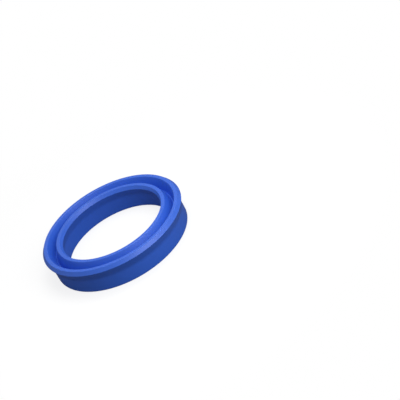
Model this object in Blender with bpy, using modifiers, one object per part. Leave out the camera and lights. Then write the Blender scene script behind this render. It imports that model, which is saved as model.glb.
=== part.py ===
"""Hydraulic U-cup seal: one moulded polyurethane ring that seals a rod and a cylinder bore.

The ring stands on its flat heel with its two lips up. Its axis is +Z and its origin is the centre of the
heel face. Lengths are in metres, for a seal of 55 mm rod and 70 mm bore, as it is before it is fitted.
"""

import math

import bpy

# The body, which fits the housing with a little play
BODY_BORE_DIAMETER = 0.0551
BODY_WALL = 0.0074
BODY_OUTER_WALL = 0.0075
BODY_BORE_WALL = 0.0076
HEEL_OUTER_ROUND = 0.0004
HEEL_BORE_ROUND = 0.0003

# The two lips, free, which flare past the body to press on the rod and the cylinder bore
OUTER_LIP_FLARE = 0.0018
INNER_LIP_FLARE = 0.0016
CREST_HEIGHT = 0.0135
OUTER_BEVEL_WIDTH = 0.00135
OUTER_BEVEL_DROP = 0.00175
INNER_BEVEL_WIDTH = 0.0010
INNER_BEVEL_DROP = 0.00175
OUTER_LAND = 0.00175
INNER_LAND = 0.00175
LIP_ROOT_ROUND = 0.0045
SEALING_EDGE_ROUND = 0.0001
CREST_ROUND = 0.00025

# The groove between the lips, which the oil's pressure opens: a V that steepens below its knees
KNEE_DEPTH = 0.0036
KNEE_GAP = 0.0020
KNEE_ROUND = 0.0015
ROOT_DEPTH = 0.0065
ROOT_SHIFT = 0.00015
ROOT_ROUND = 0.0008
MOUTH_ROUND = 0.0004

# How finely round stretches are divided
RING_STEPS = 120
FINE_ARC_STEPS = 2
WIDE_ARC_STEPS = 4

# Blue cast polyurethane, satin
POLYURETHANE_COLOUR = (0.028, 0.118, 0.618, 1.0)
POLYURETHANE_ROUGHNESS = 0.42
POLYURETHANE_IOR = 1.5


def clear_scene():
    for thing in list(bpy.data.objects):
        bpy.data.objects.remove(thing, do_unlink=True)


def make_collection(name):
    collection = bpy.data.collections.new(name)
    bpy.context.scene.collection.children.link(collection)
    return collection


def make_polyurethane():
    material = bpy.data.materials.new("blue_polyurethane")
    material.use_nodes = True
    shader = material.node_tree.nodes["Principled BSDF"]
    shader.inputs["Base Color"].default_value = POLYURETHANE_COLOUR
    shader.inputs["Roughness"].default_value = POLYURETHANE_ROUGHNESS
    shader.inputs["Metallic"].default_value = 0.0
    shader.inputs["IOR"].default_value = POLYURETHANE_IOR
    material.diffuse_color = POLYURETHANE_COLOUR
    return material


def towards(start, end):
    """The unit direction from one point to another, and the distance between them."""
    across = end[0] - start[0]
    up = end[1] - start[1]
    length = math.hypot(across, up)
    return across / length, up / length, length


def rounded_corner(before, corner, after, radius, steps):
    """Points along the arc that replaces a corner and touches both of its sides.

    The arc shrinks to fit where a side is too short for it.
    """
    back_x, back_z, back_length = towards(corner, before)
    on_x, on_z, on_length = towards(corner, after)
    half_angle = math.acos(back_x * on_x + back_z * on_z) / 2
    reach = min(radius / math.tan(half_angle), back_length / 2, on_length / 2)
    radius = reach * math.tan(half_angle)

    middle_x, middle_z, _ = towards((0.0, 0.0), (back_x + on_x, back_z + on_z))
    to_centre = radius / math.sin(half_angle)
    centre_x = corner[0] + middle_x * to_centre
    centre_z = corner[1] + middle_z * to_centre

    # The arc spans what the corner lacks of a straight line, evenly about the corner's middle line.
    span = math.pi - 2 * half_angle
    turn = math.copysign(span, back_x * on_z - back_z * on_x)
    facing = math.atan2(-middle_z, -middle_x)
    points = []
    for step in range(steps + 1):
        angle = facing + turn * (0.5 - step / steps)
        points.append((centre_x + radius * math.cos(angle), centre_z + radius * math.sin(angle)))
    return points


def rounded_outline(corners):
    """The closed outline through (point, radius, arc steps) corners, with each corner made an arc."""
    outline = []
    for index, (corner, radius, steps) in enumerate(corners):
        before = corners[index - 1][0]
        after = corners[(index + 1) % len(corners)][0]
        outline += rounded_corner(before, corner, after, radius, steps)
    return outline


def seal_section():
    """The U-shaped section at +X: down the outside, in along the heel, up the bore, over the groove."""
    body_bore = BODY_BORE_DIAMETER / 2
    body_outer = body_bore + BODY_WALL
    outer_edge = body_outer + OUTER_LIP_FLARE
    inner_edge = body_bore - INNER_LIP_FLARE

    outer_crest = outer_edge - OUTER_BEVEL_WIDTH
    inner_crest = inner_edge + INNER_BEVEL_WIDTH
    mouth_outer = outer_crest - OUTER_LAND
    mouth_inner = inner_crest + INNER_LAND
    groove_middle = (mouth_outer + mouth_inner) / 2 + ROOT_SHIFT
    knee_height = CREST_HEIGHT - KNEE_DEPTH

    return rounded_outline(
        [
            ((outer_crest, CREST_HEIGHT), CREST_ROUND, FINE_ARC_STEPS),
            ((outer_edge, CREST_HEIGHT - OUTER_BEVEL_DROP), SEALING_EDGE_ROUND, FINE_ARC_STEPS),
            ((body_outer, BODY_OUTER_WALL), LIP_ROOT_ROUND, WIDE_ARC_STEPS),
            ((body_outer, 0.0), HEEL_OUTER_ROUND, FINE_ARC_STEPS),
            ((body_bore, 0.0), HEEL_BORE_ROUND, FINE_ARC_STEPS),
            ((body_bore, BODY_BORE_WALL), LIP_ROOT_ROUND, WIDE_ARC_STEPS),
            ((inner_edge, CREST_HEIGHT - INNER_BEVEL_DROP), SEALING_EDGE_ROUND, FINE_ARC_STEPS),
            ((inner_crest, CREST_HEIGHT), CREST_ROUND, FINE_ARC_STEPS),
            ((mouth_inner, CREST_HEIGHT), MOUTH_ROUND, FINE_ARC_STEPS),
            ((groove_middle - KNEE_GAP / 2, knee_height), KNEE_ROUND, FINE_ARC_STEPS),
            ((groove_middle, CREST_HEIGHT - ROOT_DEPTH), ROOT_ROUND, WIDE_ARC_STEPS),
            ((groove_middle + KNEE_GAP / 2, knee_height), KNEE_ROUND, FINE_ARC_STEPS),
            ((mouth_outer, CREST_HEIGHT), MOUTH_ROUND, FINE_ARC_STEPS),
        ]
    )


def make_turned_ring(name, outline, material, collection):
    """Sweeps a closed outline once around +Z."""
    mesh = bpy.data.meshes.new(name)
    count = len(outline)
    edges = [(index, (index + 1) % count) for index in range(count)]
    mesh.from_pydata([(across, 0.0, up) for across, up in outline], edges, [])
    mesh.materials.append(material)

    ring = bpy.data.objects.new(name, mesh)
    collection.objects.link(ring)

    turning = ring.modifiers.new("turn", "SCREW")
    turning.axis = "Z"
    turning.angle = 2 * math.pi
    turning.steps = RING_STEPS
    turning.render_steps = RING_STEPS
    turning.use_merge_vertices = True
    turning.merge_threshold = SEALING_EDGE_ROUND / 100
    turning.use_smooth_shade = True

    # Flat faces keep their own normals, so only the rounds between them shade as curved.
    ring.modifiers.new("flat_faces_stay_flat", "WEIGHTED_NORMAL")
    return ring


def main():
    clear_scene()
    collection = make_collection("u_cup_seal")
    make_turned_ring("seal_ring", seal_section(), make_polyurethane(), collection)


main()
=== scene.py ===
# Hydraulic U-cup seal in blue cast polyurethane, dressed for a studio picture.
# The ring lies on its heel with the lips up. Lengths are in metres, and +Z is the ring's axis.

import math

import bmesh
import bpy
from mathutils import Matrix, Vector


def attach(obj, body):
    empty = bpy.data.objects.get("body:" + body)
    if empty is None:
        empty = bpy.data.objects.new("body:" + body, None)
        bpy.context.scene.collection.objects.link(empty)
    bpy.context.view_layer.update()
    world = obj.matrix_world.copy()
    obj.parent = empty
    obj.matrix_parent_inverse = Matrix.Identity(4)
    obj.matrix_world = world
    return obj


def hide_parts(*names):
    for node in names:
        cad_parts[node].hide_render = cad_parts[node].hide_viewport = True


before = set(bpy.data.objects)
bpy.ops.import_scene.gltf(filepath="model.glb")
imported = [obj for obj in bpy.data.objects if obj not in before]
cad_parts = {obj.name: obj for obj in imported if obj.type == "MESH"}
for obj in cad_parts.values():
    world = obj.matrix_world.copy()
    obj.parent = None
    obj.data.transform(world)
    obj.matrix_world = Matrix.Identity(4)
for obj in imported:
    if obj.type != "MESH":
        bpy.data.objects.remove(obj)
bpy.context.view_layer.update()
print("frame loaded:", sorted(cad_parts))


# Camera: fitted to the edges of the ring in the photograph, so its lean and foreshortening are the same.
cameraView = {
    "place": (0.0, -0.547165, 0.329600),
    "right": (0.863821, -0.309027, -0.397889),  # where the picture's right side points
    "up": (0.499258, 0.419284, 0.758250),
    "lens": 118.138,
    "sensorWidth": 36.0,
}


def makeCamera(view):
    data = bpy.data.cameras.new("photo_view")
    data.lens = view["lens"]
    data.sensor_width = view["sensorWidth"]
    camera = bpy.data.objects.new("photo_view", data)
    bpy.context.scene.collection.objects.link(camera)

    right = Vector(view["right"]).normalized()
    back = right.cross(Vector(view["up"])).normalized()
    turned = Matrix((right, back.cross(right), back)).transposed()
    camera.matrix_world = Matrix.Translation(view["place"]) @ turned.to_4x4()
    bpy.context.scene.camera = camera


makeCamera(cameraView)
print("camera set")


# Node helpers, shared by the finish, the floor and the room.
def addNode(tree, kind, **settings):
    node = tree.nodes.new(kind)
    for name, value in settings.items():
        setattr(node, name, value)
    return node


def addMath(tree, operation, *values):
    node = addNode(tree, "ShaderNodeMath", operation=operation)
    for socket, value in zip(node.inputs, values):
        if isinstance(value, (int, float)):
            socket.default_value = value
        else:
            tree.links.new(value, socket)
    return node.outputs[0]


def addNoise(tree, vector, noise):
    node = addNode(tree, "ShaderNodeTexNoise")
    node.inputs["Scale"].default_value = noise["scale"]
    node.inputs["Detail"].default_value = noise["detail"]
    node.inputs["Roughness"].default_value = noise["roughness"]
    tree.links.new(vector, node.inputs["Vector"])
    return node.outputs["Fac"]


def addBump(tree, height, depth):
    node = addNode(tree, "ShaderNodeBump")
    node.inputs["Strength"].default_value = 1.0
    node.inputs["Distance"].default_value = depth
    tree.links.new(height, node.inputs["Height"])
    return node


# Blue cast polyurethane: satin, with fine lines from turning and a faint cloudiness in the blue.
polyurethaneFinish = {
    "blue": (0.0266, 0.1154, 0.592, 1.0),
    "cloudedBlue": (0.0320, 0.1226, 0.632, 1.0),
    "roughness": (0.36, 0.50),
    "ior": 1.5,
    "clouds": {"scale": 230.0, "detail": 3.0, "roughness": 0.5},  # about 4 mm across
    "grain": {"scale": 5200.0, "detail": 2.0, "roughness": 0.5},
    "grainHeight": 0.000008,
    "turning": {"scale": 2600.0, "detail": 4.0, "roughness": 0.65},  # lines 0.4 mm apart and finer
    "turningHeight": 0.000022,
    "turningDrift": 0.01,  # how much the lines change round the ring
}


def makePolyurethane(finish):
    material = bpy.data.materials.new("satin_blue_polyurethane")
    material.use_nodes = True
    tree = material.node_tree
    shader = tree.nodes["Principled BSDF"]
    shader.inputs["IOR"].default_value = finish["ior"]

    place = addNode(tree, "ShaderNodeTexCoord").outputs["Object"]
    parts = addNode(tree, "ShaderNodeSeparateXYZ")
    tree.links.new(place, parts.inputs[0])
    across, along, height = parts.outputs
    outwardSquared = addMath(
        tree,
        "ADD",
        addMath(tree, "MULTIPLY", across, across),
        addMath(tree, "MULTIPLY", along, along),
    )

    # The tool goes round the axis, so its lines follow radius and height and drift slowly round the ring.
    toolPath = addNode(tree, "ShaderNodeCombineXYZ")
    tree.links.new(addMath(tree, "SQRT", outwardSquared), toolPath.inputs[0])
    tree.links.new(height, toolPath.inputs[1])
    tree.links.new(addMath(tree, "MULTIPLY", across, finish["turningDrift"]), toolPath.inputs[2])
    turning = addNoise(tree, toolPath.outputs[0], finish["turning"])
    clouds = addNoise(tree, place, finish["clouds"])
    grain = addNoise(tree, place, finish["grain"])

    blue = addNode(tree, "ShaderNodeMix", data_type="RGBA")
    blue.inputs["A"].default_value = finish["blue"]
    blue.inputs["B"].default_value = finish["cloudedBlue"]
    tree.links.new(clouds, blue.inputs["Factor"])
    tree.links.new(blue.outputs["Result"], shader.inputs["Base Color"])

    smooth, rough = finish["roughness"]
    unevenness = addMath(tree, "ADD", clouds, turning)
    satin = addMath(tree, "MULTIPLY_ADD", unevenness, (rough - smooth) / 2, smooth)
    tree.links.new(satin, shader.inputs["Roughness"])

    lines = addBump(tree, turning, finish["turningHeight"])
    surface = addBump(tree, grain, finish["grainHeight"])
    tree.links.new(lines.outputs["Normal"], surface.inputs["Normal"])
    tree.links.new(surface.outputs["Normal"], shader.inputs["Normal"])
    return material


# The ring, free and before it is fitted: a U-shaped section turned round +Z.
sealRing = {
    "boreRadius": 0.02755,
    "wall": 0.0074,
    "outerWallHeight": 0.0075,  # the outer lip flares above it
    "boreWallHeight": 0.0076,
    "outerFlare": 0.0018,
    "innerFlare": 0.0016,
    "crestHeight": 0.0135,
    "outerBevelWidth": 0.00135,
    "innerBevelWidth": 0.0010,
    "bevelDrop": 0.00175,
    "land": 0.00175,  # flat top of a lip, between its bevel and the groove
    "kneeDepth": 0.0036,  # the groove's walls steepen below their knees
    "kneeGap": 0.0020,
    "rootDepth": 0.0065,
    "rootShift": 0.00015,
    "heelOuterRound": 0.0004,
    "heelBoreRound": 0.0003,
    "lipRootRound": 0.0045,
    "sealingEdgeRound": 0.0001,
    "crestRound": 0.00025,
    "mouthRound": 0.0004,
    "kneeRound": 0.0015,
    "rootRound": 0.0008,
    "roundShare": 0.499,  # most of a side that one round may take
    "fineSteps": 5,  # along a small round
    "wideSteps": 8,  # along a wide one
    "turnSteps": 288,  # round the ring
    "mergeGap": 0.000001,  # points closer than this become one
}


# The section's corners at +X, each as a point, the size of its round and the steps that the round takes.
def sealCorners(ring):
    fine = ring["fineSteps"]
    wide = ring["wideSteps"]
    bore = ring["boreRadius"]
    outside = bore + ring["wall"]
    outerEdge = outside + ring["outerFlare"]
    innerEdge = bore - ring["innerFlare"]
    crest = ring["crestHeight"]
    edgeHeight = crest - ring["bevelDrop"]

    outerCrest = outerEdge - ring["outerBevelWidth"]
    innerCrest = innerEdge + ring["innerBevelWidth"]
    outerMouth = outerCrest - ring["land"]
    innerMouth = innerCrest + ring["land"]
    root = (outerMouth + innerMouth) / 2 + ring["rootShift"]
    kneeHeight = crest - ring["kneeDepth"]
    return [
        ((outerCrest, crest), ring["crestRound"], fine),
        ((outerEdge, edgeHeight), ring["sealingEdgeRound"], fine),
        ((outside, ring["outerWallHeight"]), ring["lipRootRound"], wide),
        ((outside, 0.0), ring["heelOuterRound"], fine),
        ((bore, 0.0), ring["heelBoreRound"], fine),
        ((bore, ring["boreWallHeight"]), ring["lipRootRound"], wide),
        ((innerEdge, edgeHeight), ring["sealingEdgeRound"], fine),
        ((innerCrest, crest), ring["crestRound"], fine),
        ((innerMouth, crest), ring["mouthRound"], fine),
        ((root - ring["kneeGap"] / 2, kneeHeight), ring["kneeRound"], fine),
        ((root, crest - ring["rootDepth"]), ring["rootRound"], wide),
        ((root + ring["kneeGap"] / 2, kneeHeight), ring["kneeRound"], fine),
        ((outerMouth, crest), ring["mouthRound"], fine),
    ]


# How far along its sides a corner's round starts, no more than the given share of the shorter side.
def roundReach(before, corner, after, radius, share):
    back = Vector(before) - Vector(corner)
    ahead = Vector(after) - Vector(corner)
    reach = radius / math.tan(back.angle(ahead) / 2)
    return min(reach, share * back.length, share * ahead.length)


def makeRing(name, ring, material):
    corners = sealCorners(ring)
    points = [point for point, size, steps in corners]
    shape = bmesh.new()
    marks = [shape.verts.new((outward, 0.0, up)) for outward, up in points]
    shape.faces.new(marks)
    for index, (point, size, steps) in enumerate(corners):
        after = points[(index + 1) % len(points)]
        bmesh.ops.bevel(
            shape,
            geom=[marks[index]],
            offset=roundReach(points[index - 1], point, after, size, ring["roundShare"]),
            offset_type="OFFSET",
            affect="VERTICES",
            segments=steps,
            profile=0.5,
            material=-1,
        )

    # Only the outline is turned, so the face that carried it goes first.
    bmesh.ops.delete(shape, geom=shape.faces[:], context="FACES_ONLY")
    bmesh.ops.spin(
        shape,
        geom=shape.verts[:] + shape.edges[:],
        cent=(0.0, 0.0, 0.0),
        axis=(0.0, 0.0, 1.0),
        angle=2 * math.pi,
        steps=ring["turnSteps"],
        use_merge=True,
        use_duplicate=False,
    )
    bmesh.ops.remove_doubles(shape, verts=shape.verts[:], dist=ring["mergeGap"])
    bmesh.ops.recalc_face_normals(shape, faces=shape.faces[:])
    for face in shape.faces:
        face.smooth = True

    mesh = bpy.data.meshes.new(name)
    shape.to_mesh(mesh)
    shape.free()
    mesh.materials.append(material)
    piece = bpy.data.objects.new(name, mesh)
    bpy.context.scene.collection.objects.link(piece)
    piece.modifiers.new("flat_faces_stay_flat", "WEIGHTED_NORMAL")
    return piece


turnedSeal = makeRing("turned_seal", sealRing, makePolyurethane(polyurethaneFinish))
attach(turnedSeal, "root")
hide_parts("seal_ring")
print("ring:", len(turnedSeal.data.vertices), "points,", len(turnedSeal.data.polygons), "faces")


# Floor: it lights the ring as grey paper would, and the camera sees it white with the ring's soft shadow.
studioFloor = {
    "size": 6.0,
    "colour": (0.174, 0.174, 0.174, 1.0),  # as it lights the ring
    "shadowShare": 0.22,  # share of the white that light on the floor gives, so how dark a shadow looks
    "glow": 0.80,  # the rest of the white, which no shadow darkens
    "shadowReach": 0.06,  # the floor has shadows this far from the ring's axis
    "whiteFrom": 0.14,  # and is plain white from here on
}


def makePaper(floor):
    material = bpy.data.materials.new("floor_paper")
    material.use_nodes = True
    tree = material.node_tree
    tree.nodes.remove(tree.nodes["Principled BSDF"])

    paper = addNode(tree, "ShaderNodeBsdfDiffuse")
    paper.inputs["Color"].default_value = floor["colour"]
    shade = addNode(tree, "ShaderNodeBsdfDiffuse")
    shade.inputs["Color"].default_value = (floor["shadowShare"],) * 3 + (1.0,)
    glow = addNode(tree, "ShaderNodeEmission")
    glow.inputs["Strength"].default_value = floor["glow"]
    nearRing = addNode(tree, "ShaderNodeAddShader")
    tree.links.new(shade.outputs[0], nearRing.inputs[0])
    tree.links.new(glow.outputs[0], nearRing.inputs[1])

    # Away from the ring the light falls off, so there the white is the floor's own.
    outward = addNode(tree, "ShaderNodeVectorMath", operation="LENGTH")
    tree.links.new(addNode(tree, "ShaderNodeTexCoord").outputs["Object"], outward.inputs[0])
    whitening = addNode(tree, "ShaderNodeMapRange", interpolation_type="SMOOTHSTEP")
    whitening.inputs["From Min"].default_value = floor["shadowReach"]
    whitening.inputs["From Max"].default_value = floor["whiteFrom"]
    tree.links.new(outward.outputs["Value"], whitening.inputs["Value"])
    seen = addNode(tree, "ShaderNodeMixShader")
    tree.links.new(whitening.outputs["Result"], seen.inputs[0])
    tree.links.new(nearRing.outputs[0], seen.inputs[1])
    tree.links.new(addNode(tree, "ShaderNodeEmission").outputs[0], seen.inputs[2])

    choose = addNode(tree, "ShaderNodeMixShader")
    tree.links.new(addNode(tree, "ShaderNodeLightPath").outputs["Is Camera Ray"], choose.inputs[0])
    tree.links.new(paper.outputs[0], choose.inputs[1])
    tree.links.new(seen.outputs[0], choose.inputs[2])
    tree.links.new(choose.outputs[0], tree.nodes["Material Output"].inputs["Surface"])
    return material


def makeFloor(floor):
    shape = bmesh.new()
    bmesh.ops.create_grid(shape, x_segments=1, y_segments=1, size=floor["size"] / 2)
    mesh = bpy.data.meshes.new("studio_floor")
    shape.to_mesh(mesh)
    shape.free()
    mesh.materials.append(makePaper(floor))
    plane = bpy.data.objects.new("studio_floor", mesh)
    bpy.context.scene.collection.objects.link(plane)
    return plane


makeFloor(studioFloor)
print("floor laid")


# Light: a dim room, and three softboxes close to the ring: over the camera, on its right and overhead.
# The side of the ring that is nearer to them is brighter, as in the photograph.
# A softbox's place is its turn round the ring from the camera towards +X, and its rise, both in degrees.
studioLights = [
    {"name": "front_softbox", "turn": 30.0, "rise": 42.0, "away": 0.22, "size": 0.13, "power": 0.1972},
    {"name": "right_softbox", "turn": 60.0, "rise": 25.0, "away": 0.22, "size": 0.13, "power": 0.0478},
    {"name": "top_softbox", "turn": 120.0, "rise": 76.0, "away": 0.22, "size": 0.13, "power": 0.1912},
]
studioRoom = {"seen": 1.0, "light": 0.491}  # how bright it looks to the camera, and how much it lights


def makeLight(light):
    turn = math.radians(light["turn"])
    rise = math.radians(light["rise"])
    level = math.cos(rise)
    towards = Vector((math.sin(turn) * level, -math.cos(turn) * level, math.sin(rise)))
    data = bpy.data.lights.new(light["name"], "AREA")
    data.shape = "SQUARE"
    data.size = light["size"]
    data.energy = light["power"]
    lamp = bpy.data.objects.new(light["name"], data)
    lamp.visible_camera = False  # it is close enough to be in some views
    lamp.location = towards * light["away"]
    lamp.rotation_euler = towards.to_track_quat("Z", "Y").to_euler()
    bpy.context.scene.collection.objects.link(lamp)


def makeRoom(room):
    world = bpy.data.worlds.new("studio_room")
    world.use_nodes = True
    bpy.context.scene.world = world
    tree = world.node_tree
    background = tree.nodes["Background"]
    background.inputs["Color"].default_value = (1.0, 1.0, 1.0, 1.0)
    isSeen = addNode(tree, "ShaderNodeLightPath").outputs["Is Camera Ray"]
    strength = addMath(tree, "MULTIPLY_ADD", isSeen, room["seen"] - room["light"], room["light"])
    tree.links.new(strength, background.inputs["Strength"])


for light in studioLights:
    makeLight(light)
makeRoom(studioRoom)
bpy.context.scene.view_settings.view_transform = "Standard"
print("lights on:", len(studioLights))
